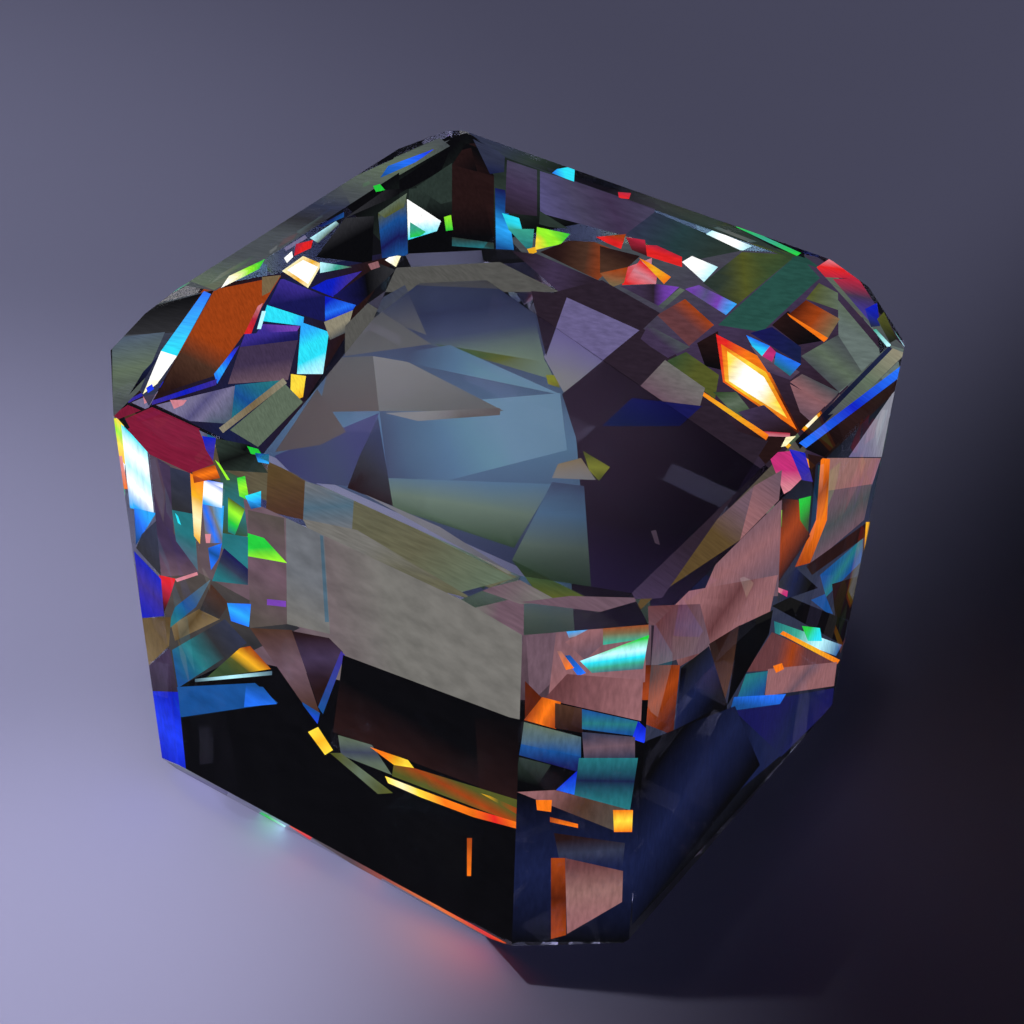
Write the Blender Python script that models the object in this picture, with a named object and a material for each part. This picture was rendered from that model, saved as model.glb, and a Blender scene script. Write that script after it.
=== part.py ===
"""A deep, block-like step-cut gemstone, ground the way a cutter does it: a rectangular block whose
facets are flat cuts, one after another. It has a wide flat table, one shallow step round it, upright
walls, four cut corners, two long undercut facets on the far side, a bevelled foot and a flat base.
Metres, +Z up, base on z = 0."""

import math

import bmesh
import bpy
from mathutils import Vector

MM = 0.001

# Driving dimensions
WIDTH = 20.0 * MM           # wall to wall along X
DEPTH = 19.64 * MM          # wall to wall along Y
HEIGHT = 13.27 * MM         # base to table
STEP_DROP = 0.29 * MM       # fall of the shallow step from the table to the tops of the walls
FOOT_RISE = 1.50 * MM       # level at which the bevelled foot is measured
GIRDLE = 13.0 * MM          # level at which the corner cuts are measured

# Each wall: (direction it faces in degrees, distance from the stone's axis, width of its step)
WALLS = (
    (0, WIDTH / 2, 1.12 * MM),
    (90, DEPTH / 2, 1.30 * MM),
    (180, WIDTH / 2, 1.33 * MM),
    (270, DEPTH / 2, 0.94 * MM),
)

# Each corner cut: (direction in degrees, distance from the axis at the girdle, inward lean in degrees
# going down). The left and right corners have a narrow near cut, a middle cut and a long undercut one.
CORNER_CUTS = (
    (160.6, 11.04 * MM, 0.0),
    (134.5, 11.36 * MM, 1.9),
    (101.9, 10.61 * MM, 12.8),
    (289.9, 10.93 * MM, 2.0),
    (314.4, 11.42 * MM, 1.9),
    (345.5, 10.98 * MM, 17.2),
    (217.9, 12.36 * MM, 0.0),
    (41.5, 13.31 * MM, 4.4),
    (67.6, 12.01 * MM, 0.0),
)

# The shallow facets between the table and the corner cuts: (direction in degrees, distance from the
# axis at the table, slope in degrees below level)
TABLE_CUTS = (
    (113.6, 9.01 * MM, 12.8),
    (325.0, 10.21 * MM, 19.0),
    (202.5, 10.41 * MM, 17.8),
)

# The bevelled foot: (direction in degrees, distance from the axis at FOOT_RISE, width at the base)
FEET = (
    (0, WIDTH / 2, 0.95 * MM),
    (41.5, 12.45 * MM, 0.95 * MM),
    (90, DEPTH / 2, 0.95 * MM),
    (180, WIDTH / 2, 0.95 * MM),
    (217.9, 12.36 * MM, 1.70 * MM),
    (270, 9.70 * MM, 1.30 * MM),
)

BLOCK = 60.0 * MM           # edge of the rough block that the stone is cut from
UPRIGHT = 90.0

COLOUR = (0.80, 0.86, 0.92, 1.0)
ROUGHNESS = 0.02


def clear_scene():
    for old in list(bpy.data.objects):
        bpy.data.objects.remove(old)


def cut_facet(body, facing, reach, level, lean):
    """Grinds away all that lies outside one flat facet.

    The facet faces `facing` degrees round from +X. At height `level` it is `reach` from the axis, and
    it leans in by `lean` degrees going down (a negative lean slopes in towards the table instead)."""
    turn, tip = math.radians(facing), math.radians(lean)
    outward = Vector((math.cos(turn), math.sin(turn), 0.0))
    normal = outward * math.cos(tip) - Vector((0.0, 0.0, math.sin(tip)))
    cut = bmesh.ops.bisect_plane(
        body,
        geom=body.verts[:] + body.edges[:] + body.faces[:],
        dist=1e-8,
        plane_co=outward * reach + Vector((0.0, 0.0, level)),
        plane_no=normal,
        clear_outer=True,
    )
    rim = [item for item in cut["geom_cut"] if isinstance(item, bmesh.types.BMEdge)]
    bmesh.ops.contextual_create(body, geom=rim)


def cut_walls(body):
    for facing, reach, step_width in WALLS:
        slope = math.degrees(math.atan2(STEP_DROP, step_width))
        cut_facet(body, facing, reach, FOOT_RISE, 0.0)
        cut_facet(body, facing, reach - step_width, HEIGHT, slope - UPRIGHT)


def cut_corners(body):
    for facing, reach, lean in CORNER_CUTS:
        cut_facet(body, facing, reach, GIRDLE, lean)
    for facing, reach, slope in TABLE_CUTS:
        cut_facet(body, facing, reach, HEIGHT, slope - UPRIGHT)


def cut_feet(body):
    for facing, reach, foot_width in FEET:
        lean = math.degrees(math.atan2(foot_width, FOOT_RISE))
        cut_facet(body, facing, reach, FOOT_RISE, lean)


def stone_mesh():
    body = bmesh.new()
    bmesh.ops.create_cube(body, size=BLOCK)
    cut_facet(body, 0.0, 0.0, HEIGHT, -UPRIGHT)
    cut_facet(body, 0.0, 0.0, 0.0, UPRIGHT)
    cut_walls(body)
    cut_corners(body)
    cut_feet(body)
    bmesh.ops.recalc_face_normals(body, faces=body.faces)
    mesh = bpy.data.meshes.new("topaz_stone")
    body.to_mesh(mesh)
    body.free()
    return mesh


def clear_stone_material():
    material = bpy.data.materials.new("clear_stone")
    material.use_nodes = True
    shader = material.node_tree.nodes["Principled BSDF"]
    shader.inputs["Base Color"].default_value = COLOUR
    shader.inputs["Roughness"].default_value = ROUGHNESS
    shader.inputs["Metallic"].default_value = 0.0
    return material


def build_stone():
    stone = bpy.data.objects.new("topaz_stone", stone_mesh())
    stone.data.materials.append(clear_stone_material())
    bpy.context.scene.collection.objects.link(stone)
    return stone


clear_scene()
build_stone()
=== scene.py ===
import math
from collections import Counter
from itertools import chain, product

import bmesh
import bpy
from mathutils import Euler, Matrix, Vector


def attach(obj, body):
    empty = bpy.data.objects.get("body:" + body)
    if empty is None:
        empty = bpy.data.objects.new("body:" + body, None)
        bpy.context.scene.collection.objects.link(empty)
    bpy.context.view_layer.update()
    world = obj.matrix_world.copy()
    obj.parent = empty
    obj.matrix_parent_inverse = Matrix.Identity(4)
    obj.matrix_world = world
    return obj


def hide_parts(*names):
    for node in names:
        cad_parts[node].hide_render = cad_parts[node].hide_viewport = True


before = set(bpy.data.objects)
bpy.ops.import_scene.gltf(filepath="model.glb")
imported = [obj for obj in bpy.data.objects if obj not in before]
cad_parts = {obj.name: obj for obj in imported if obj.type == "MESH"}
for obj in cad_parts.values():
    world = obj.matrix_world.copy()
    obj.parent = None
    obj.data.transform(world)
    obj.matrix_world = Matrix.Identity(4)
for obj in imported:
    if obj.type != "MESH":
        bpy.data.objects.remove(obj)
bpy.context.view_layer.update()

# A clear, block-like step-cut topaz with rainbow fire and shade painted in and on its facets as glow, on a
# pale floor

MM = 0.001

# The eye, close above the near cut corner, looking down across the table
EYE = Vector((-44.60, -29.92, 48.18)) * MM
TURN = Euler([math.radians(angle) for angle in (52.56, -1.31, -55.32)]).to_matrix()
LENS = 78.2                 # focal length in mm
SENSOR = 36.0               # width of the sensor in mm
PICTURE = 1024              # width of the camera's picture in pixels

INDEX = 1.62                # refractive index of topaz

# The stone's facets: (direction that each faces, tilt of its normal above level), in round degrees
FACETS = {
    "base": (0, -90),
    "table": (0, 90),
    "far_left_wall": (90, 0),
    "far_right_wall": (0, 0),
    "near_left_wall": (180, 0),
    "near_right_wall": (270, 0),
    "near_corner": (218, 0),
    "far_corner": (42, -4),
    "far_sliver": (68, 0),
    "left_undercut": (102, -13),
    "right_undercut": (345, -17),
    "left_cut": (161, 0),
    "right_cut": (290, -2),
    "right_mid_cut": (314, -2),
    "left_mid_cut": (134, -2),
    "far_corner_foot": (42, -32),
    "far_left_foot": (90, -32),
    "near_left_foot": (180, -32),
    "near_corner_foot": (218, -49),
    "near_right_foot": (270, -41),
    "near_left_step": (180, 78),
    "near_right_step": (270, 73),
    "near_corner_step": (202, 72),
    "left_step": (114, 77),
    "right_step": (325, 71),
    "far_left_step": (90, 77),
    "far_right_step": (0, 75),
}

# Colours of the painted fire, glints, reflections and shade, and of the painted tint that stands in for the
# lit floor seen through the stone
SPECTRUM = {
    "white": (1.3, 1.3, 1.25), "cream": (1.15, 1.05, 0.6), "yellow": (1.15, 0.82, 0.06),
    "gold": (1.0, 0.50, 0.02), "orange": (1.0, 0.20, 0.01), "rust": (0.36, 0.055, 0.008),
    "red": (0.85, 0.02, 0.02), "crimson": (0.48, 0.02, 0.05), "magenta": (0.55, 0.03, 0.18),
    "pink": (0.70, 0.25, 0.30), "rose": (0.30, 0.13, 0.14), "violet": (0.20, 0.06, 0.48),
    "indigo": (0.05, 0.03, 0.30), "navy": (0.01, 0.015, 0.06), "royal": (0.015, 0.05, 0.95),
    "blue": (0.02, 0.18, 1.0), "sky": (0.03, 0.45, 1.1), "cyan": (0.03, 0.85, 1.05),
    "ice": (0.6, 1.1, 1.2), "teal": (0.02, 0.18, 0.21), "jade": (0.05, 0.42, 0.30),
    "green": (0.02, 0.65, 0.05), "lime": (0.35, 1.0, 0.03), "olive": (0.09, 0.10, 0.02),
    "moss": (0.04, 0.075, 0.03), "sage": (0.12, 0.16, 0.11), "beige": (0.30, 0.27, 0.19),
    "tan": (0.20, 0.14, 0.07), "brown": (0.075, 0.033, 0.02), "mauve": (0.15, 0.09, 0.12),
    "lavender": (0.20, 0.18, 0.31), "slate": (0.08, 0.11, 0.16),
    "smoke": (0.03, 0.03, 0.035), "black": (0.003, 0.003, 0.004), "ash": (0.07, 0.08, 0.09),
    "pine": (0.026, 0.04, 0.033), "umber": (0.020, 0.008, 0.008), "storm": (0.032, 0.038, 0.075),
    "midnight": (0.01, 0.01, 0.09), "plum": (0.055, 0.035, 0.08), "azure": (0.01, 0.08, 0.30),
    "dusk": (0.07, 0.06, 0.115), "iris": (0.10, 0.09, 0.22), "shade": (0.026, 0.016, 0.027),
    "cobalt": (0.005, 0.015, 0.55), "spruce": (0.022, 0.05, 0.055), "verdigris": (0.022, 0.085, 0.068),
    "rosewood": (0.13, 0.045, 0.05), "celadon": (0.14, 0.18, 0.165), "pearl": (0.27, 0.27, 0.33),
    "blush": (0.30, 0.15, 0.14), "bronze": (0.10, 0.062, 0.024), "oxide": (0.09, 0.014, 0.005),
    "stone": (0.10, 0.098, 0.09), "denim": (0.05, 0.06, 0.10), "dove": (0.175, 0.168, 0.155),
    "steel": (0.075, 0.135, 0.19), "lagoon": (0.115, 0.22, 0.24), "larkspur": (0.045, 0.045, 0.11),
    "taupe": (0.09, 0.073, 0.065), "wisteria": (0.15, 0.125, 0.27), "pewter": (0.15, 0.16, 0.18),
    "khaki": (0.12, 0.115, 0.07), "ruby": (0.21, 0.012, 0.04),
}

# The painted fire, reflections and shade, which glow on the facets or tint what is seen through them,
# region by region.
# Each patch is its colours, from its first edge to its last, then its corners in pixels of the camera's
# picture, and for some the only facet it is looked at through. A patch under others comes first.
PAINTED_FIRE_AND_SHADE = {
    # Base tones under the other patches: painted shade and reflections that fill the gaps between them
    "painted_underlay": [
        ("ash plum umber", (505, 235), (815, 253), (897, 345), (745, 492), "table"),
        ("umber navy umber", (148, 402), (215, 285), (400, 250), (268, 462), "table"),
        ("black pine black", (345, 205), (465, 130), (640, 212), (400, 262), "table"),
        ("storm denim steel denim", (400, 270), (560, 288), (600, 603), (262, 452), "table"),
        ("shade shade plum", (560, 288), (662, 338), (770, 470), (600, 603), "table"),
        ("taupe mauve dove dove", (150, 410), (150, 640), (522, 722), (522, 590), "near_left_wall"),
        ("black black", (155, 640), (522, 720), (518, 945), (165, 770), "near_left_wall"),
        ("taupe smoke", (134, 588), (176, 560), (300, 628), (150, 700), "near_left_wall"),
        ("black storm black", (908, 350), (640, 596), (632, 925), (838, 700), "near_right_wall"),
        ("mauve black black", (515, 598), (652, 598), (645, 905), (508, 945), "near_corner"),
        ("brown khaki khaki", (116, 405), (150, 455), (520, 600), (520, 578), "near_left_step"),
        ("bronze ash", (640, 600), (630, 620), (906, 354), (891, 343), "near_right_step"),
        ("ash storm", (110, 340), (142, 307), (215, 289), (149, 406), "left_step"),
        ("ash ash", (180, 285), (345, 180), (470, 132), (215, 291), "far_left_step"),
        ("storm pine black", (466, 131), (505, 158), (805, 258), (800, 240), "far_right_step"),
        ("sage ash", (803, 240), (803, 258), (890, 345), (906, 350), "right_step"),
    ],
    "upper_left": [
        ("black smoke", (142, 309), (214, 290), (190, 332), (122, 335)),
        ("slate sage ash", (112, 338), (165, 332), (140, 390), (113, 417), "left_step"),
        ("navy black", (160, 354), (143, 372), (129, 395), (146, 377), "left_step"),
        ("blue sky cyan", (204, 291), (211, 294), (177, 356), (161, 351), "left_step"),
        ("white white white cream", (161, 351), (177, 356), (157, 384), (143, 394), "left_step"),
        ("royal", (146, 388), (152, 384), (154, 389), (148, 393), "left_step"),
        ("white ice jade sage", (140, 311), (142, 305), (187, 279), (190, 283)),
        ("sage ash ash", (190, 281), (214, 290), (300, 238), (268, 230)),
        ("ash smoke storm ash", (268, 230), (300, 238), (352, 203), (340, 183)),
        ("ash sage ash", (340, 183), (350, 204), (450, 146), (440, 138)),
        ("white cream lime green", (221, 288), (229, 276), (265, 259), (259, 269)),
        ("rust rust rust", (217, 289), (281, 276), (255, 318), (196, 325)),
        ("rust rust brown umber", (196, 325), (255, 318), (214, 376), (158, 394)),
        ("tan", (262, 277), (281, 275), (270, 292), (262, 296)),
        ("indigo midnight midnight", (281, 278), (327, 297), (325, 322), (268, 305)),
        ("red crimson pink", (244, 334), (251, 334), (263, 303), (258, 306)),
        ("violet indigo", (262, 324), (300, 326), (296, 333), (256, 334)),
        ("indigo midnight", (245, 334), (298, 331), (298, 341), (240, 347)),
        ("plum plum mauve", (240, 347), (298, 340), (288, 380), (228, 384)),
        ("cyan cyan cyan sky", (262, 321), (267, 305), (304, 317), (303, 326)),
        ("ice", (257, 329), (262, 311), (266, 311), (261, 329)),
        ("indigo royal blue sky blue", (240, 345), (234, 349), (214, 374), (217, 384)),
        ("sky cyan cyan ice", (301, 322), (329, 332), (323, 374), (297, 374)),
        ("yellow yellow gold", (291, 374), (306, 376), (303, 397), (290, 403)),
        ("indigo cobalt indigo", (152, 405), (151, 401), (217, 379), (216, 385)),
        ("lavender iris lavender slate", (156, 405), (238, 385), (232, 424), (190, 421)),
        ("pink", (170, 400), (187, 400), (183, 405), (174, 409)),
        ("teal azure teal", (235, 385), (283, 380), (240, 418), (231, 423)),
        ("sage sage sage", (285, 384), (303, 402), (258, 447), (230, 430)),
        ("beige tan beige", (283, 378), (287, 383), (223, 433), (219, 428)),
        ("black black", (450, 147), (450, 166), (409, 189), (384, 190)),
        ("black smoke", (385, 190), (409, 188), (394, 197), (345, 218)),
        ("royal blue azure", (434, 149), (418, 161), (380, 178), (388, 166)),
        ("green", (373, 186), (380, 184), (385, 190), (376, 192)),
        ("smoke black black", (345, 218), (374, 216), (372, 264), (316, 257)),
        ("midnight azure", (318, 226), (344, 212), (344, 217), (322, 227)),
        ("ice sage", (310, 238), (336, 221), (339, 224), (318, 243)),
        ("lavender", (284, 248), (305, 235), (307, 238), (286, 251)),
        ("crimson red red", (294, 256), (296, 244), (313, 240), (311, 248)),
        ("white", (284, 258), (292, 251), (293, 257), (287, 263)),
        ("cream gold cream", (282, 271), (303, 256), (322, 264), (308, 288)),
        ("white", (287, 270), (303, 260), (318, 267), (308, 284)),
        ("ice jade sage", (320, 262), (320, 273), (352, 267)),
        ("cobalt cobalt indigo", (311, 288), (326, 280), (362, 271), (333, 297)),
        ("midnight black smoke", (333, 296), (357, 306), (396, 270), (380, 264)),
        ("cobalt blue cobalt", (325, 296), (356, 305), (350, 314), (325, 321)),
        ("rose", (368, 264), (378, 261), (380, 267), (371, 270)),
        ("beige beige ash", (324, 322), (353, 310), (347, 332), (330, 340)),
    ],
    "top": [
        ("pine black black", (409, 189), (494, 180), (494, 251), (408, 254)),
        ("pine pine pine", (416, 187), (452, 163), (453, 201), (441, 204)),
        ("umber umber black", (452, 165), (494, 176), (494, 237), (452, 235)),
        ("umber black", (452, 165), (462, 150), (478, 146), (494, 176)),
        ("pine teal", (452, 237), (494, 243), (494, 249), (452, 246)),
        ("olive azure midnight azure", (378, 214), (406, 195), (408, 256), (382, 258)),
        ("sage olive", (378, 213), (407, 193), (404, 207), (385, 218)),
        ("white white ice cyan", (407, 199), (441, 221), (437, 231), (408, 240)),
        ("jade green", (410, 222), (426, 232), (420, 236), (410, 238)),
        ("lime green", (444, 217), (451, 215), (453, 230), (446, 231)),
        ("white cream", (385, 260), (392, 255), (401, 256), (396, 267)),
        ("storm storm navy", (473, 139), (505, 155), (504, 172), (490, 174)),
        ("midnight azure sky azure", (495, 188), (505, 190), (514, 250), (496, 249)),
        ("dusk plum shade", (507, 160), (537, 170), (537, 216), (505, 213)),
        ("iris dusk plum dusk", (540, 213), (540, 171), (655, 206), (652, 243)),
        ("cyan cyan jade", (502, 213), (519, 218), (522, 229), (509, 230)),
        ("jade teal", (508, 229), (534, 229), (532, 251), (526, 248)),
        ("pine", (540, 211), (569, 229), (550, 227), (539, 224)),
        ("yellow lime lime green", (535, 250), (537, 227), (570, 234), (561, 244)),
        ("gold", (527, 249), (535, 247), (537, 252), (530, 255)),
        ("storm pine black black smoke", (480, 137), (505, 157), (655, 209), (655, 193)),
        ("blue cyan cyan", (552, 173), (557, 169), (575, 166), (574, 182)),
        ("crimson red", (618, 192), (631, 193), (629, 199), (619, 198)),
        ("umber brown rust", (540, 252), (580, 236), (626, 255), (598, 280)),
        ("rust red red", (596, 237), (626, 234), (621, 249), (607, 243)),
        ("shade plum shade", (512, 251), (537, 254), (612, 286), (559, 292)),
        ("red pink", (622, 285), (625, 268), (652, 258), (650, 284)),
    ],
    "upper_right": [
        ("smoke pine pine", (655, 193), (655, 210), (790, 256), (745, 232)),
        ("green jade green", (736, 227), (737, 224), (801, 253), (797, 256)),
        ("storm spruce pine", (626, 234), (655, 212), (745, 250), (685, 262)),
        ("ice white white ice", (706, 234), (713, 230), (752, 246), (742, 251)),
        ("umber brown", (600, 246), (640, 256), (628, 267), (600, 273)),
        ("crimson umber", (626, 237), (645, 240), (647, 256), (632, 250)),
        ("crimson red red", (645, 240), (682, 257), (682, 267), (647, 256)),
        ("rust tan", (600, 273), (628, 267), (624, 283), (612, 287)),
        ("red pink red", (640, 260), (657, 276), (656, 284), (623, 284)),
        ("orange gold orange", (639, 258), (648, 262), (671, 277), (664, 284)),
        ("pine olive moss", (703, 283), (742, 252), (797, 255), (736, 306)),
        ("verdigris verdigris", (718, 325), (798, 254), (820, 278), (762, 332)),
        ("white white ice", (682, 262), (692, 256), (718, 267), (704, 282)),
        ("plum shade violet", (620, 286), (657, 284), (679, 287), (659, 306)),
        ("sage ash", (680, 288), (685, 290), (663, 309), (658, 306)),
        ("violet iris violet sky", (685, 289), (699, 285), (737, 304), (726, 315)),
        ("rosewood rosewood rust", (657, 315), (689, 346), (714, 325), (685, 299)),
        ("ash plum plum", (648, 325), (690, 347), (668, 358), (640, 340)),
        ("umber black", (697, 343), (718, 331), (722, 370), (705, 366)),
        ("red orange orange oxide", (716, 334), (723, 382), (802, 436), (762, 358)),
        ("orange yellow gold orange", (721, 344), (725, 381), (797, 430), (766, 372)),
        ("yellow white white yellow", (727, 351), (729, 381), (787, 418), (764, 377)),
        ("midnight navy", (750, 333), (772, 327), (801, 347), (801, 364)),
        ("mauve plum", (750, 345), (800, 372), (790, 380), (768, 372)),
        ("blue cyan", (746, 335), (770, 346), (762, 356), (752, 346)),
        ("magenta", (770, 346), (776, 352), (772, 362), (762, 356)),
        ("blue teal", (776, 352), (801, 364), (790, 376), (774, 364)),
        ("sage celadon celadon", (820, 279), (893, 347), (839, 393), (838, 300)),
        ("ash sage ash", (838, 335), (862, 372), (839, 392), (801, 356)),
        ("ash rose", (802, 374), (839, 392), (827, 408), (790, 382)),
        ("umber black", (772, 325), (788, 311), (822, 341), (798, 345)),
        ("oxide rust tan", (788, 315), (806, 300), (840, 319), (826, 341)),
        ("orange", (787, 313), (790, 317), (824, 342), (828, 338)),
        ("olive sage", (806, 299), (819, 283), (838, 293), (838, 310)),
        ("rose mauve", (790, 384), (827, 404), (810, 421), (800, 412)),
        ("moss olive olive", (664, 362), (686, 352), (719, 375), (715, 399)),
        ("moss sage moss", (713, 392), (736, 392), (752, 412), (738, 418)),
        ("plum umber", (738, 412), (764, 405), (794, 430), (760, 432)),
        ("crimson pink", (760, 431), (790, 433), (790, 437), (764, 436)),
        ("orange gold orange", (690, 387), (693, 385), (769, 435), (766, 440)),
        ("cream", (786, 437), (796, 436), (786, 446), (781, 447)),
        ("pink red crimson", (812, 258), (830, 257), (860, 279), (822, 277), "right_step"),
        ("crimson plum indigo", (858, 278), (833, 279), (871, 323), (878, 308), "right_step"),
        ("cobalt navy", (865, 309), (877, 303), (880, 326), (871, 327), "right_step"),
        ("olive black", (877, 319), (884, 312), (897, 339), (890, 343), "right_step"),
        ("jade ice", (873, 330), (876, 329), (891, 345), (888, 348)),
        ("navy black", (891, 344), (891, 353), (800, 449), (795, 441)),
        ("beige sage ash", (893, 348), (907, 352), (848, 410), (828, 415)),
        ("blue cobalt blue", (902, 365), (902, 377), (806, 448), (799, 443)),
        ("umber umber black", (900, 377), (893, 394), (826, 458), (805, 449)),
        ("pearl pearl wisteria", (903, 378), (892, 394), (831, 457), (882, 457)),
    ],
    "right_wall_top": [
        ("blush blush rose", (827, 458), (881, 458), (872, 485), (827, 491)),
        ("mauve ash mauve", (826, 491), (872, 484), (864, 520), (810, 566)),
        ("umber black", (803, 453), (823, 457), (816, 520), (811, 480)),
        ("orange rust orange", (821, 458), (830, 459), (827, 520), (816, 520)),
        ("orange rust", (816, 520), (827, 520), (810, 563), (795, 567)),
        ("umber rust umber", (778, 498), (798, 500), (810, 536), (778, 583)),
        ("magenta magenta pink", (768, 453), (791, 451), (803, 483), (784, 494)),
        ("cobalt indigo", (789, 449), (805, 453), (813, 482), (802, 480)),
        ("rust orange", (755, 485), (772, 485), (775, 497), (757, 494)),
        ("sage", (757, 500), (775, 503), (772, 515), (760, 512)),
        ("green moss", (799, 499), (811, 496), (808, 532), (800, 520)),
        ("lime olive", (776, 510), (782, 510), (782, 527), (777, 527)),
        ("azure teal azure", (820, 575), (863, 538), (862, 561), (826, 597)),
        ("umber", (866, 523), (865, 537), (812, 575), (806, 566)),
        ("gold orange", (866, 522), (871, 522), (868, 553), (864, 553)),
        ("umber black", (832, 584), (862, 575), (850, 621), (835, 616)),
        ("azure", (811, 600), (825, 594), (833, 614), (826, 612)),
        ("smoke navy black", (778, 602), (775, 586), (796, 568), (818, 588)),
        ("pink magenta", (774, 586), (788, 591), (787, 597), (776, 591)),
        ("black black", (772, 606), (790, 597), (848, 621), (843, 645)),
        ("teal jade ice azure", (774, 621), (775, 633), (836, 656), (842, 645)),
        ("green cyan", (802, 626), (820, 628), (822, 641), (808, 641)),
        ("rosewood rust rosewood", (772, 632), (838, 664), (800, 668), (746, 672)),
        ("orange gold orange", (780, 634), (783, 631), (840, 660), (837, 664)),
        ("rose mauve rose", (768, 669), (837, 662), (834, 686), (765, 696)),
        ("orange", (773, 666), (782, 663), (784, 669), (776, 673)),
        ("teal azure", (746, 674), (768, 671), (764, 696), (736, 702)),
        ("midnight navy midnight", (730, 707), (834, 688), (832, 706), (781, 757)),
        ("navy black", (730, 707), (781, 755), (740, 790), (700, 757)),
        ("blue azure", (734, 697), (786, 694), (780, 704), (730, 711)),
    ],
    "right_wall": [
        ("mauve rose mauve", (735, 520), (782, 500), (778, 596), (700, 600), "near_right_wall"),
        ("rose rosewood rose", (655, 597), (778, 575), (770, 612), (679, 667)),
        ("rosewood mauve", (648, 606), (700, 604), (712, 650), (650, 667)),
        ("bronze bronze mauve", (662, 592), (712, 524), (754, 486), (740, 540), "near_right_step"),
        ("rose mauve", (740, 540), (754, 486), (782, 470), (779, 500), "near_right_step"),
        ("umber brown", (709, 644), (740, 625), (735, 660), (724, 704)),
        ("black black", (739, 626), (773, 610), (769, 634), (727, 706)),
        ("oxide rust oxide", (643, 665), (680, 665), (673, 735), (640, 722)),
        ("black navy black", (681, 668), (709, 646), (727, 704), (674, 735)),
        ("black black", (674, 730), (727, 704), (727, 742), (673, 787)),
        ("black navy black", (636, 745), (735, 706), (760, 765), (632, 925)),
    ],
    # Seen through the table: a painted tint in place of the floor's light, caustics and shade under the
    # stone
    "window": [
        ("stone stone", (390, 268), (500, 262), (560, 292), (385, 292)),
        ("denim storm denim sage", (388, 284), (528, 290), (546, 366), (430, 345)),
        ("denim stone", (360, 310), (405, 285), (430, 343), (400, 325)),
        ("stone stone", (345, 326), (368, 303), (431, 344), (345, 356)),
        ("moss olive sage", (430, 343), (546, 362), (562, 395), (440, 346)),
        ("gold olive", (546, 375), (557, 375), (560, 388), (548, 384)),
        ("stone taupe", (331, 358), (373, 356), (380, 411), (318, 412)),
        ("denim steel lagoon", (404, 362), (408, 352), (450, 345), (562, 395)),
        ("denim steel lagoon lagoon", (379, 408), (390, 495), (567, 450), (560, 393)),
        ("dove stone", (373, 356), (408, 362), (504, 411), (379, 411)),
        ("dove taupe", (385, 413), (500, 408), (500, 415), (418, 421)),
        ("steel sage moss", (386, 478), (552, 484), (514, 548), (393, 508)),
        ("larkspur denim larkspur", (274, 456), (300, 482), (350, 486), (379, 413)),
        ("taupe taupe", (275, 452), (317, 389), (346, 432), (320, 445)),
        ("storm smoke umber", (377, 411), (393, 506), (345, 487), (360, 455)),
        ("wisteria wisteria dove", (567, 295), (641, 329), (564, 393), (544, 357)),
        ("shade", (531, 291), (568, 294), (546, 356)),
        ("shade shade", (555, 292), (602, 280), (660, 313), (641, 331)),
        ("shade shade", (636, 335), (668, 361), (577, 441), (562, 394)),
        ("dove mauve", (665, 360), (705, 388), (700, 406), (630, 397)),
        ("shade shade shade", (577, 441), (632, 396), (768, 441), (738, 489)),
        ("shade shade plum", (576, 436), (742, 484), (662, 598), (590, 601)),
        ("midnight navy", (632, 398), (702, 406), (680, 426), (602, 426)),
        ("tan dove", (558, 464), (581, 458), (596, 480), (552, 478)),
        ("olive lime olive", (583, 451), (610, 467), (599, 481), (589, 470)),
        ("denim steel sage moss", (552, 482), (584, 486), (592, 601), (512, 560)),
        ("moss olive", (512, 560), (592, 600), (560, 604), (535, 590)),
        ("rose", (651, 531), (656, 530), (660, 545), (655, 543)),
    ],
    "left_wall": [
        ("bronze brown", (268, 460), (306, 481), (304, 520), (266, 511)),
        ("taupe mauve taupe", (248, 510), (284, 518), (288, 624), (250, 628)),
        ("pewter steel pewter", (305, 481), (356, 497), (352, 530), (303, 521)),
        ("khaki khaki sage", (354, 497), (352, 530), (462, 592), (514, 578)),
        ("dove dove khaki", (303, 519), (357, 530), (475, 600), (322, 560)),
        ("pewter pewter dove", (286, 518), (324, 534), (330, 634), (287, 624)),
        ("dove dove dove", (320, 534), (480, 600), (475, 712), (328, 640)),
        ("mauve mauve dove", (524, 596), (523, 721), (473, 710), (474, 608)),
        ("steel", (320, 535), (323, 536), (329, 622), (325, 622)),
        ("steel sky", (364, 660), (373, 638), (383, 638), (381, 668)),
        ("dove", (364, 494), (440, 527), (512, 573), (508, 574)),
        ("violet", (267, 599), (286, 601), (286, 607), (267, 605)),
        ("green green lime", (247, 533), (264, 538), (287, 563), (247, 556)),
        ("brown mauve brown", (250, 628), (292, 630), (320, 714), (303, 704)),
        ("umber plum umber", (292, 631), (329, 638), (343, 652), (320, 711)),
        ("blue azure blue", (286, 621), (326, 625), (334, 637), (292, 633)),
        ("indigo azure", (341, 651), (345, 655), (323, 714), (318, 707)),
        ("black black umber", (343, 655), (522, 722), (519, 802), (333, 732)),
        ("azure royal", (302, 702), (320, 713), (316, 731), (309, 723)),
    ],
    "left_wall_foot": [
        ("black black", (177, 717), (303, 705), (345, 760), (186, 790)),
        ("black black", (186, 766), (345, 757), (500, 830), (505, 940)),
        ("black black", (333, 745), (519, 828), (517, 940), (400, 895)),
        ("black umber", (475, 718), (521, 722), (519, 822), (480, 800)),
        ("sage denim sage", (338, 735), (372, 745), (392, 775), (341, 755)),
        ("olive sage olive", (330, 753), (341, 753), (393, 793), (378, 794)),
        ("yellow gold yellow", (308, 732), (318, 727), (333, 750), (325, 755)),
        ("olive rust olive", (394, 762), (518, 800), (518, 824), (392, 776)),
        ("orange gold yellow", (370, 747), (408, 760), (414, 768), (394, 765)),
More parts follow.
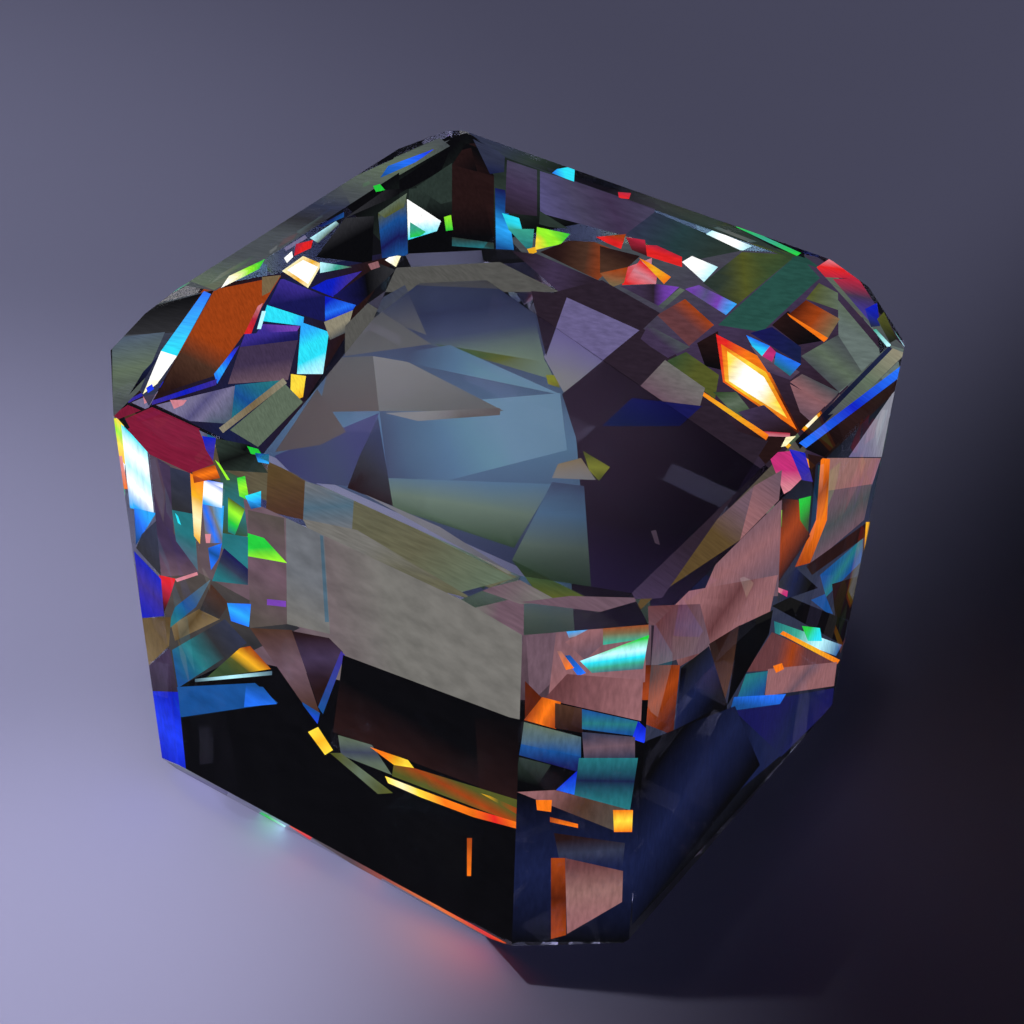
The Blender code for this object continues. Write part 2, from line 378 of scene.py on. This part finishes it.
        ("yellow cream yellow", (385, 776), (388, 783), (420, 797), (416, 788)),
        ("yellow orange orange", (416, 788), (420, 797), (473, 817), (470, 808)),
        ("orange red orange", (470, 808), (473, 817), (518, 829), (517, 822)),
        ("gold olive rust", (470, 787), (490, 796), (518, 804), (518, 815)),
        ("rust orange", (467, 838), (472, 838), (471, 876), (467, 876)),
        ("azure azure azure", (177, 687), (255, 683), (278, 703), (176, 718)),
        ("azure blue", (246, 685), (263, 687), (277, 704), (244, 707)),
        ("rust gold olive moss", (240, 648), (250, 646), (271, 669), (205, 679)),
        ("steel ice steel", (195, 679), (195, 682), (272, 675), (272, 671)),
        ("azure teal smoke storm", (172, 650), (178, 688), (247, 643), (225, 619)),
    ],
    "left_wall_edge": [
        ("tan bronze tan", (171, 625), (199, 609), (220, 619), (175, 641)),
        ("brown smoke", (211, 584), (229, 604), (219, 619), (200, 610)),
        ("blue sky blue", (227, 603), (251, 604), (249, 627), (231, 621)),
        ("plum plum", (149, 453), (170, 466), (174, 536), (155, 520)),
        ("plum plum mauve", (155, 518), (173, 532), (199, 574), (160, 577)),
        ("storm smoke", (170, 467), (194, 474), (194, 515), (172, 511)),
        ("teal teal steel", (172, 510), (194, 514), (198, 571), (176, 541)),
        ("teal azure steel", (166, 631), (175, 607), (211, 579), (196, 607)),
        ("red crimson umber", (159, 575), (177, 579), (170, 597), (164, 617)),
        ("pink", (175, 579), (197, 572), (198, 575), (177, 582)),
        ("cyan", (175, 513), (178, 516), (181, 525), (178, 523)),
        ("moss teal moss", (220, 468), (241, 478), (248, 536), (222, 536)),
        ("teal teal", (222, 533), (248, 537), (248, 570), (222, 548)),
        ("midnight storm teal", (224, 548), (248, 569), (248, 585), (212, 581)),
        ("dove blue dove sky", (202, 502), (206, 543), (222, 543), (224, 506)),
        ("blue white white sky", (202, 479), (223, 483), (222, 508), (202, 504)),
        ("orange gold cream gold", (190, 472), (204, 479), (200, 544), (194, 536)),
        ("blue azure blue", (208, 548), (222, 543), (219, 558), (211, 570)),
        ("pink", (205, 534), (211, 534), (210, 543), (206, 543)),
        ("pine black pine", (214, 438), (250, 445), (268, 473), (221, 470)),
        ("green", (247, 446), (258, 449), (262, 455), (251, 454)),
        ("azure sky", (255, 453), (269, 454), (269, 464), (258, 462)),
        ("green lime green", (237, 478), (245, 476), (249, 498), (240, 501)),
        ("cyan sky azure", (245, 496), (261, 491), (261, 507), (251, 509)),
        ("olive lime green teal", (228, 497), (245, 509), (235, 535), (228, 532)),
        ("lime", (215, 460), (219, 463), (230, 480), (227, 480)),
        ("rust orange rust", (192, 471), (215, 465), (220, 478), (194, 483)),
        ("ruby ruby ruby", (125, 419), (152, 407), (200, 429), (149, 463)),
        ("ruby ruby", (198, 428), (214, 464), (190, 473), (149, 462)),
        ("cobalt indigo", (202, 436), (216, 438), (213, 461), (206, 450)),
    ],
    "left_strip": [
        ("yellow lime yellow gold", (112, 418), (123, 419), (129, 470), (114, 450), "left_cut"),
        ("cyan white ice white sky", (121, 424), (147, 449), (154, 514), (130, 508), "left_cut"),
        ("pink orange", (118, 456), (122, 456), (128, 489), (124, 489), "left_cut"),
        ("sky blue azure", (134, 508), (156, 513), (143, 534), (136, 545), "left_cut"),
        ("storm smoke", (142, 534), (157, 520), (161, 576), (136, 548), "left_cut"),
        ("cobalt indigo cobalt", (134, 551), (161, 579), (164, 616), (142, 618), "left_cut"),
        ("bronze tan", (142, 618), (171, 617), (169, 646), (147, 667)),
        ("plum shade", (147, 667), (170, 648), (178, 693), (150, 692)),
        ("cobalt royal cobalt", (149, 691), (178, 692), (186, 770), (158, 768)),
    ],
    "near_corner": [
        ("black black", (515, 700), (650, 700), (640, 800), (515, 800), "near_corner"),
        ("black navy black", (515, 790), (650, 790), (636, 942), (512, 942), "near_corner"),
        ("mauve mauve", (524, 600), (564, 602), (566, 668), (530, 704), "near_corner"),
        ("mauve rose", (560, 600), (648, 600), (645, 682), (548, 700), "near_corner"),
        ("mauve dove", (480, 590), (520, 580), (560, 602), (520, 604), "near_corner_step"),
        ("mauve mauve", (520, 602), (570, 596), (648, 598), (600, 612), "near_corner_step"),
        ("iris sky pearl", (565, 628), (590, 617), (593, 632), (569, 638), "near_corner"),
        ("rose mauve", (565, 642), (604, 621), (604, 643), (585, 660), "near_corner"),
        ("orange rust tan jade", (603, 620), (648, 610), (649, 638), (603, 645), "near_corner"),
        ("green ice cyan jade steel", (580, 661), (649, 635), (643, 669), (592, 673), "near_corner"),
        ("azure blue", (563, 656), (570, 655), (586, 673), (578, 676), "near_corner"),
        ("blush orange", (557, 651), (561, 651), (574, 668), (566, 670), "near_corner"),
        ("rosewood rose", (544, 699), (567, 674), (643, 680), (641, 721), "near_corner"),
        ("oxide", (525, 681), (543, 699), (525, 720), "near_corner"),
        ("rust orange rust", (524, 720), (542, 697), (561, 702), (556, 729), "near_corner"),
        ("brown umber", (555, 703), (583, 709), (583, 733), (555, 728), "near_corner"),
        ("azure teal azure", (582, 709), (640, 722), (635, 736), (582, 729), "near_corner"),
        ("cobalt royal", (638, 721), (650, 732), (644, 743), (632, 739), "near_corner"),
        ("sage steel azure", (524, 722), (581, 737), (581, 757), (521, 745), "near_corner"),
        ("azure midnight", (521, 744), (581, 757), (578, 772), (519, 755), "near_corner"),
        ("pine black", (519, 757), (551, 765), (537, 786), (516, 780), "near_corner"),
        ("cobalt blue", (556, 790), (578, 770), (575, 795), "near_corner"),
        ("storm mauve storm", (582, 732), (635, 737), (635, 758), (584, 758), "near_corner"),
        ("teal navy teal", (579, 758), (638, 758), (630, 810), (574, 797), "near_corner"),
        ("rose brown taupe", (517, 792), (555, 790), (626, 809), (615, 831), "near_corner"),
        ("orange", (536, 800), (552, 800), (551, 812), (537, 810), "near_corner"),
        ("orange yellow orange", (613, 810), (633, 810), (632, 832), (614, 832), "near_corner"),
        ("rust orange", (550, 817), (578, 824), (578, 828), (550, 822), "near_corner"),
        ("umber storm navy", (554, 833), (625, 843), (622, 872), (559, 859), "near_corner"),
        ("rust oxide rust", (551, 858), (566, 858), (566, 935), (551, 939), "near_corner"),
        ("rosewood blush rose", (565, 858), (623, 871), (622, 902), (567, 934), "near_corner"),
    ],
    "near_foot": [
        ("pewter iris pewter", (162, 760), (186, 768), (228, 792), (225, 803), "near_left_foot"),
        ("jade green ice", (254, 815), (262, 812), (286, 826), (282, 831), "near_left_foot"),
        ("orange red", (289, 826), (296, 824), (314, 836), (310, 840), "near_left_foot"),
        ("taupe brown rust", (311, 838), (318, 838), (386, 872), (380, 882), "near_left_foot"),
        ("rust orange red orange", (378, 876), (388, 872), (512, 935), (504, 946), "near_left_foot"),
    ],
}

# The near facets carry the same painted fire and shade on their inner sides as the far facets that they
# face
OPPOSITE = {
    "near_left_wall": "right_undercut",
    "near_right_wall": "left_undercut",
    "near_corner": "far_corner",
    "left_cut": "far_right_wall",
    "right_cut": "far_left_wall",
}
PALE = ("sage celadon celadon", "pearl pearl wisteria")     # patches that stay on the far side only

SAMPLES = 9                 # points tried along each side of a patch to find its facets
SHRINK = 0.93               # how much of the patch those points cover
SHARE = 0.10                # smallest share of them that gives a facet its own copy of the patch

MIRRORING = 0.5             # share of light above which a facet counts as a mirror
ON_CUT = 1e-8               # how near a cut a point counts as lying on it, in metres
SAME_POINT = 1e-6           # how near each other two points are merged, in metres
SHORTEST = 1e-6             # least length of a patch, in metres
FLAT = math.radians(0.2)    # triangles that meet at less than this are one facet

# The layers of painted colour. The first is a painted tint of light that passes a facet, in place of the
# floor's light, caustics and shade seen through the stone.
# "pass" is painted fire and shade that glow on a facet's inner side where light passes it, "fire" is the
# same where the facet mirrors, and "face" is the same on its outer side.
LAYERS = ("painted_floor_tint", "pass", "fire", "face")

# The paper's light, as it comes through the two facets that carry the painted tint
PAPER = {"base": (0.19, 0.19, 0.24), "right_undercut": (0.30, 0.30, 0.36)}

# What shadows let through: the closed facets hold back nearly all light, and the others hardly any
OPENNESS = "open"
CLEAR = (0.95, 0.96, 1.0, 1.0)
SHUT = (0.05, 0.05, 0.09, 1.0)
BARE = (0.0, 0.0, 0.0, 0.0)
CLOSED = (
    "far_right_wall", "near_right_wall", "near_corner", "right_cut", "right_mid_cut", "right_undercut",
    "near_right_foot", "near_corner_foot",
)

FIRST_CROSSING = 1.5        # ray depth below which the eye's ray has crossed one facet at most
RIM_FADE = 0.35             # how much of the painted glow on an outer side a full reflection hides
GRAIN_TURN = (0.4, 0.3, 0.6)                # in radians
GRAIN_SCALE = (15000.0, 1500.0, 2500.0)     # streaks in a metre, along each axis of the grain
GRAIN_DETAIL = 3.0
GRAIN_LEAST = 0.6           # strength of the painted glow where the grain is darkest
GRAIN_RANGE = 0.8           # what the brightest grain adds to that

FLOOR_SIZE = 1.2            # in metres
FLOOR_DROP = 0.02 * MM      # gap under the stone
FLOOR_COLOUR = (0.54, 0.54, 0.75, 1.0)
FLOOR_ROUGHNESS = 0.9
ROOM_COLOUR = (0.006, 0.006, 0.008, 1.0)
LAMP_RADIUS = 1.0 * MM
NEAREST_SEEN = 1.0 * MM
BOUNCES = 24


def principled(name):
    material = bpy.data.materials.new(name)
    material.use_nodes = True
    return material, material.node_tree, material.node_tree.nodes["Principled BSDF"]


# Where a patch lies

def facet_of(normal):
    """The name of the facet that faces most nearly this way."""
    def likeness(name):
        turn, tip = (math.radians(angle) for angle in FACETS[name])
        return normal.dot((math.cos(tip) * math.cos(turn), math.cos(tip) * math.sin(turn), math.sin(tip)))
    return max(FACETS, key=likeness)


def sight(pixel):
    """The direction that the eye looks in through one point of its picture."""
    right, down = ((value - PICTURE / 2) * SENSOR / PICTURE for value in pixel)
    return (TURN @ Vector((right, -down, -LENS))).normalized()


def distance(point, way, name):
    """How far along a ray the plane of one facet lies."""
    return (reach[name] - normals[name].dot(point)) / normals[name].dot(way)


def go_in(way, normal):
    """The direction of a ray once it has gone into the stone through a facet."""
    cosine = -way.dot(normal)
    return way / INDEX + normal * (cosine / INDEX - math.sqrt(1 - (1 - cosine ** 2) / INDEX ** 2))


def mirrored_share(way, normal):
    """The share of a ray's light that a facet mirrors back into the stone."""
    cosine = way.dot(normal)
    sine = INDEX * math.sqrt(max(1 - cosine ** 2, 0.0))
    if sine >= 1:
        return 1.0
    leaving = math.sqrt(1 - sine ** 2)
    across = (INDEX * cosine - leaving) / (INDEX * cosine + leaving)
    along = (cosine - INDEX * leaving) / (cosine + INDEX * leaving)
    return (across ** 2 + along ** 2) / 2


def seat(pixel):
    """The layer, the facet looked in through and the facet that carries the painted light, at one point of
    the picture, or None beside the stone."""
    way = sight(pixel)
    entry = max((n for n in normals if normals[n].dot(way) < 0), key=lambda n: distance(EYE, way, n))
    start = distance(EYE, way, entry)
    if any(normals[n].dot(way) > 0 and distance(EYE, way, n) < start for n in normals):
        return None
    point, way = EYE + way * start, go_in(way, normals[entry])
    meets = min((n for n in normals if normals[n].dot(way) > 0), key=lambda n: distance(point, way, n))
    # Where the eye sees the floor through the stone, a painted tint stands in for its light, caustics and
    # shade
    if (entry, meets) in (("table", "base"), ("near_left_wall", "right_undercut")):
        return "painted_floor_tint", entry, meets
    if entry == "table":
        return "fire" if mirrored_share(way, normals[meets]) > MIRRORING else "pass", entry, meets
    return "face", entry, entry


def laid(pixel, entry, carrier):
    """The point of the carrying facet that one point of the picture shows."""
    way = sight(pixel)
    point = EYE + way * distance(EYE, way, entry)
    if carrier != entry:
        way = go_in(way, normals[entry])
        point += way * distance(point, way, carrier)
    return point


def seats(corners, only):
    """The seats that take up a good share of a patch, the largest first."""
    spots = [Vector(corner) for corner in corners]
    middle = sum(spots, Vector((0, 0))) / len(spots)
    count = Counter()
    for a, b in product([n / (SAMPLES - 1) for n in range(SAMPLES)], repeat=2):
        if len(spots) == 4:
            spot = spots[0].lerp(spots[1], a).lerp(spots[3].lerp(spots[2], a), b)
        elif a + b <= 1:
            spot = spots[0] + (spots[1] - spots[0]) * a + (spots[2] - spots[0]) * b
        else:
            continue
        found = seat(middle + (spot - middle) * SHRINK)
        if found and only in (None, found[1]):
            count[found] += 1
    ranked = [found for found, _ in count.most_common()]
    return [found for found in ranked if count[found] >= SHARE * sum(count.values())] or ranked[:1]


def carried(corner, source, name):
    """The point of one facet that is as far along and as high as a corner is on another."""
    outward, onward = (Vector((*normals[n].to_2d().normalized(), 0)) for n in (source, name))
    along = Vector((-outward.y, outward.x, 0)).dot(corner)
    out = (reach[name] - normals[name].z * corner.z) / normals[name].to_2d().length
    return Vector((-onward.y, onward.x, 0)) * along + onward * out + Vector((0, 0, corner.z))


class Patch:
    """A flat patch of painted fire or shade on one facet, with colour bands that run from its first edge to
    its last.
    """

    def __init__(self, colours, corners, normal):
        self.names, self.corners, self.normal = colours, corners, normal
        self.bands = [SPECTRUM[colour] for colour in colours.split()]
        middle = sum(self.corners, Vector()) / len(self.corners)
        self.sides = []
        for n, corner in enumerate(self.corners):
            side = self.normal.cross(self.corners[(n + 1) % len(self.corners)] - corner).normalized()
            self.sides.append((corner, -side if side.dot(middle - corner) > 0 else side))
        self.start = (self.corners[0] + self.corners[1]) / 2
        run = (self.corners[2] + self.corners[-1]) / 2 - self.start
        self.length = max(run.length, SHORTEST)
        self.run = run / self.length

    def cuts(self):
        yield from self.sides
        for n in range(1, len(self.bands) - 1):
            yield self.start + self.run * (self.length * n / (len(self.bands) - 1)), self.run

    def holds(self, point):
        return all(side.dot(point - corner) <= ON_CUT for corner, side in self.sides)

    def colour(self, point):
        at = min(max(self.run.dot(point - self.start) / self.length, 0.0), 1.0) * (len(self.bands) - 1)
        low = min(int(at), len(self.bands) - 2) if len(self.bands) > 1 else 0
        here, after = self.bands[low], self.bands[min(low + 1, len(self.bands) - 1)]
        return [a + (b - a) * (at - low) for a, b in zip(here, after)]


def score(solid, faces, patch):
    """Cuts the outline and the colour bands of one patch into the faces of its facet."""
    middle = sum(patch.corners, Vector()) / len(patch.corners)
    span = max((corner - middle).length for corner in patch.corners)
    inside = []
    for face in faces:
        centre = face.calc_center_median()
        if (centre - middle).length < span + max((v.co - centre).length for v in face.verts):
            inside.append(face)
    for n, (place, side) in enumerate(patch.cuts()):
        parts = {*inside, *(e for f in inside for e in f.edges), *(v for f in inside for v in f.verts)}
        cut = bmesh.ops.bisect_plane(solid, geom=list(parts), dist=ON_CUT, plane_co=place, plane_no=side)
        pieces = [part for part in cut["geom"] if isinstance(part, bmesh.types.BMFace)]
        faces.update(pieces)
        if n < len(patch.sides):
            inside = [f for f in pieces if side.dot(f.calc_center_median() - place) < 0]
        else:
            inside = pieces


def painted_tint_for(colour, paper):
    """The painted tint that turns the light of the paper into this colour, in place of the floor's caustics
    and shade.
    """
    return [min(c / p, 1.0) ** 2 for c, p in zip(colour, paper)]


# The gem

def copy_stone():
    """A copy of the solid stone in which each facet is one face."""
    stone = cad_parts["topaz_stone"]
    bpy.ops.object.select_all(action="DESELECT")
    copied = stone.copy()
    copied.data = stone.data.copy()
    copied.name = copied.data.name = "gem"
    bpy.context.scene.collection.objects.link(copied)
    bpy.context.view_layer.objects.active = copied
    copied.select_set(True)
    bpy.ops.object.mode_set(mode="EDIT")
    bpy.ops.mesh.select_all(action="SELECT")
    bpy.ops.mesh.remove_doubles(threshold=SAME_POINT)
    bpy.ops.mesh.dissolve_limited(angle_limit=FLAT)
    bpy.ops.object.mode_set(mode="OBJECT")
    return copied


def find_patches():
    """Every patch of painted fire and shade, by the layer and the facet that carry it, in the order they
    are laid.
    """
    found = {}
    for colours, *corners in chain.from_iterable(PAINTED_FIRE_AND_SHADE.values()):
        only = corners.pop() if isinstance(corners[-1], str) else None
        for layer, entry, carrier in seats(corners, only):
            points = [laid(corner, entry, carrier) for corner in corners]
            found.setdefault((layer, carrier), []).append(Patch(colours, points, normals[carrier]))
    for name, source in OPPOSITE.items():
        for patch in found["fire", source]:
            if patch.names not in PALE:
                points = [carried(corner, source, name) for corner in patch.corners]
                found.setdefault(("fire", name), []).append(Patch(patch.names, points, normals[name]))
    return found


def shown(layer, facet, here, place):
    """The colour of one layer at one point, from the patches that hold it."""
    if not here:
        return CLEAR if layer == "painted_floor_tint" else BARE
    colour = here[-1].colour(place)
    if layer == "painted_floor_tint":
        colour = painted_tint_for(colour, PAPER[facet])
    return (*colour, 1.0)


def store_colours(mesh):
    """Keeps the colour of every layer, and what shadows let through, at the corners of every face."""
    names = (OPENNESS, *LAYERS)
    for name in names:
        mesh.color_attributes.new(name, "FLOAT_COLOR", "CORNER")
    stored = {name: mesh.color_attributes[name] for name in names}
    for face in mesh.polygons:
        facet = facet_of(face.normal)
        for corner in face.loop_indices:
            stored[OPENNESS].data[corner].color = SHUT if facet in CLOSED else CLEAR
        for layer in LAYERS:
            here = [patch for patch in patches.get((layer, facet), ()) if patch.holds(face.center)]
            for corner in face.loop_indices:
                place = mesh.vertices[mesh.loops[corner].vertex_index].co
                stored[layer].data[corner].color = shown(layer, facet, here, place)


gem = copy_stone()
solid = bmesh.new()
solid.from_mesh(gem.data)
facets, normals, reach = {}, {}, {}
for face in solid.faces:
    name = facet_of(face.normal)
    facets[name] = {face}
    normals[name] = face.normal.copy()
    reach[name] = face.calc_center_median().dot(face.normal)
patches = find_patches()
for (layer, name), rows in patches.items():
    for patch in rows:
        score(solid, facets[name], patch)
solid.to_mesh(gem.data)
solid.free()
store_colours(gem.data)
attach(gem, "root")
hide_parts("topaz_stone")


# The gem's material

def layer_colour(tree, name):
    node = tree.nodes.new("ShaderNodeVertexColor")
    node.layer_name = name
    return node


def maths(tree, operation, a, b):
    """One step of arithmetic on two sockets or numbers."""
    node = tree.nodes.new("ShaderNodeMath")
    node.operation = operation
    for socket, value in zip(node.inputs, (a, b)):
        if isinstance(value, float):
            socket.default_value = value
        else:
            tree.links.new(value, socket)
    return node.outputs["Value"]


def choose(tree, kind, share, a, b):
    """A colour or a number that goes from a to b as the share goes from 0 to 1."""
    node = tree.nodes.new("ShaderNodeMix")
    node.data_type = kind
    ends = [socket for socket in node.inputs if socket.enabled]
    tree.links.new(share, ends[0])
    tree.links.new(a, ends[1])
    tree.links.new(b, ends[2])
    return next(socket for socket in node.outputs if socket.enabled)


def mixed(tree, share, a, b):
    """The shader that goes from a to b as the share goes from 0 to 1."""
    node = tree.nodes.new("ShaderNodeMixShader")
    tree.links.new(share, node.inputs["Fac"])
    tree.links.new(a, node.inputs[1])
    tree.links.new(b, node.inputs[2])
    return node.outputs["Shader"]


def streaks(tree):
    """The strength of the painted glow of fire and shade, with a fine streaky grain."""
    place = tree.nodes.new("ShaderNodeTexCoord")
    grain = tree.nodes.new("ShaderNodeMapping")
    grain.inputs["Rotation"].default_value = GRAIN_TURN
    grain.inputs["Scale"].default_value = GRAIN_SCALE
    tree.links.new(place.outputs["Object"], grain.inputs["Vector"])
    streak = tree.nodes.new("ShaderNodeTexNoise")
    streak.inputs["Scale"].default_value = 1.0
    streak.inputs["Detail"].default_value = GRAIN_DETAIL
    tree.links.new(grain.outputs["Vector"], streak.inputs["Vector"])
    return maths(tree, "ADD", maths(tree, "MULTIPLY", streak.outputs["Fac"], GRAIN_RANGE), GRAIN_LEAST)


def clear_topaz():
    """Clear stone with fire and shade painted in and on its facets as glow."""
    material, tree, shader = principled("clear_topaz")
    shader.inputs["Roughness"].default_value = 0.0
    shader.inputs["IOR"].default_value = INDEX
    shader.inputs["Transmission Weight"].default_value = 1.0
    # The base colour is a painted tint in place of the floor's light, caustics and shade seen through the
    # stone
    tree.links.new(layer_colour(tree, "painted_floor_tint").outputs["Color"], shader.inputs["Base Color"])

    passing, mirrored, outer = (layer_colour(tree, name) for name in ("pass", "fire", "face"))
    inner_side = tree.nodes.new("ShaderNodeNewGeometry").outputs["Backfacing"]
    path = tree.nodes.new("ShaderNodeLightPath")
    rim = tree.nodes.new("ShaderNodeFresnel")
    rim.inputs["IOR"].default_value = INDEX
    mirrors = maths(tree, "GREATER_THAN", rim.outputs["Fac"], MIRRORING)
    first = maths(tree, "LESS_THAN", path.outputs["Ray Depth"], FIRST_CROSSING)

    inside = choose(tree, "RGBA", mirrors, passing.outputs["Color"], mirrored.outputs["Color"])
    colour = choose(tree, "RGBA", inner_side, outer.outputs["Color"], inside)
    held_inside = choose(tree, "FLOAT", mirrors, passing.outputs["Alpha"], mirrored.outputs["Alpha"])
    held_inside = maths(tree, "MULTIPLY", held_inside, first)
    kept = maths(tree, "SUBTRACT", 1.0, maths(tree, "MULTIPLY", rim.outputs["Fac"], RIM_FADE))
    held_outside = maths(tree, "MULTIPLY", outer.outputs["Alpha"], kept)
    share = choose(tree, "FLOAT", inner_side, held_outside, held_inside)

    # Painted fire, glints and shade: an emission on the facets, which are no lamp
    painted_glow = tree.nodes.new("ShaderNodeEmission")
    tree.links.new(colour, painted_glow.inputs["Color"])
    tree.links.new(streaks(tree), painted_glow.inputs["Strength"])
    clear = tree.nodes.new("ShaderNodeBsdfTransparent")
    tree.links.new(layer_colour(tree, OPENNESS).outputs["Color"], clear.inputs["Color"])
    lit = mixed(tree, share, shader.outputs["BSDF"], painted_glow.outputs["Emission"])
    surface = mixed(tree, path.outputs["Is Shadow Ray"], lit, clear.outputs["BSDF"])
    tree.links.new(surface, tree.nodes["Material Output"].inputs["Surface"])
    return material


gem.data.materials.clear()
gem.data.materials.append(clear_topaz())


# The floor and the room

def pale_paper():
    material, _, shader = principled("pale_paper")
    shader.inputs["Base Color"].default_value = FLOOR_COLOUR
    shader.inputs["Roughness"].default_value = FLOOR_ROUGHNESS
    return material


bpy.ops.object.select_all(action="DESELECT")
bpy.ops.mesh.primitive_plane_add(size=FLOOR_SIZE, location=(0, 0, -FLOOR_DROP))
floor = bpy.context.object
floor.name = "floor"
floor.data.materials.append(pale_paper())

room = bpy.data.worlds.new("room")
room.use_nodes = True
room.node_tree.nodes["Background"].inputs["Color"].default_value = ROOM_COLOUR
room.node_tree.nodes["Background"].inputs["Strength"].default_value = 1.0
bpy.context.scene.world = room


# The lamps, with places and sizes in millimetres and powers in watts

def place_lamp(name, lamp, place):
    """Hangs a lamp that shines straight down over one point of the floor, and stays out of reflections."""
    hung = bpy.data.objects.new(name, lamp)
    bpy.context.scene.collection.objects.link(hung)
    hung.location = [value * MM for value in place]
    hung.visible_glossy = hung.visible_transmission = False


def sheet(name, place, size, spread, power, colour):
    """A wide, even sheet of soft light, with an edge that fades. The spread is in degrees."""
    lamp = bpy.data.lights.new(name, "AREA")
    lamp.shape = "RECTANGLE"
    lamp.size, lamp.size_y = (value * MM for value in size)
    lamp.spread = math.radians(spread)
    lamp.energy = power
    lamp.color = colour
    place_lamp(name, lamp, place)


def pool(name, place, radius, power, colour):
    """A round pool of light on the floor that fades towards its edge."""
    lamp = bpy.data.lights.new(name, "SPOT")
    lamp.spot_size = 2 * math.atan2(radius, place[2])
    lamp.spot_blend = 1.0
    lamp.shadow_soft_size = LAMP_RADIUS
    lamp.energy = power
    lamp.color = colour
    place_lamp(name, lamp, place)


sheet("room_light", (18.0, 29.0, 60.0), (100.0, 68.0), 17.0, 0.0028, (0.84, 0.84, 1.0))
pool("near_light", (-22.0, 15.0, 80.0), 36.0, 0.09, (0.90, 0.88, 1.0))
pool("far_light", (-10.0, 48.0, 90.0), 60.0, 0.06, (0.87, 0.88, 1.0))
pool("side_light", (-18.0, 3.0, 50.0), 14.0, 0.022, (0.95, 0.90, 1.0))
pool("window_light", (3.0, 3.5, 50.0), 8.5, 0.036, (1.0, 1.0, 0.86))

# The camera
cam = bpy.data.cameras.new("eye")
cam.lens = LENS
cam.sensor_width = SENSOR
cam.clip_start = NEAREST_SEEN
eye = bpy.data.objects.new("eye", cam)
bpy.context.scene.collection.objects.link(eye)
eye.matrix_world = Matrix.Translation(EYE) @ TURN.to_4x4()
bpy.context.scene.camera = eye

cycles = bpy.context.scene.cycles
cycles.max_bounces = cycles.glossy_bounces = cycles.transmission_bounces = BOUNCES
bpy.context.scene.view_settings.view_transform = "Standard"
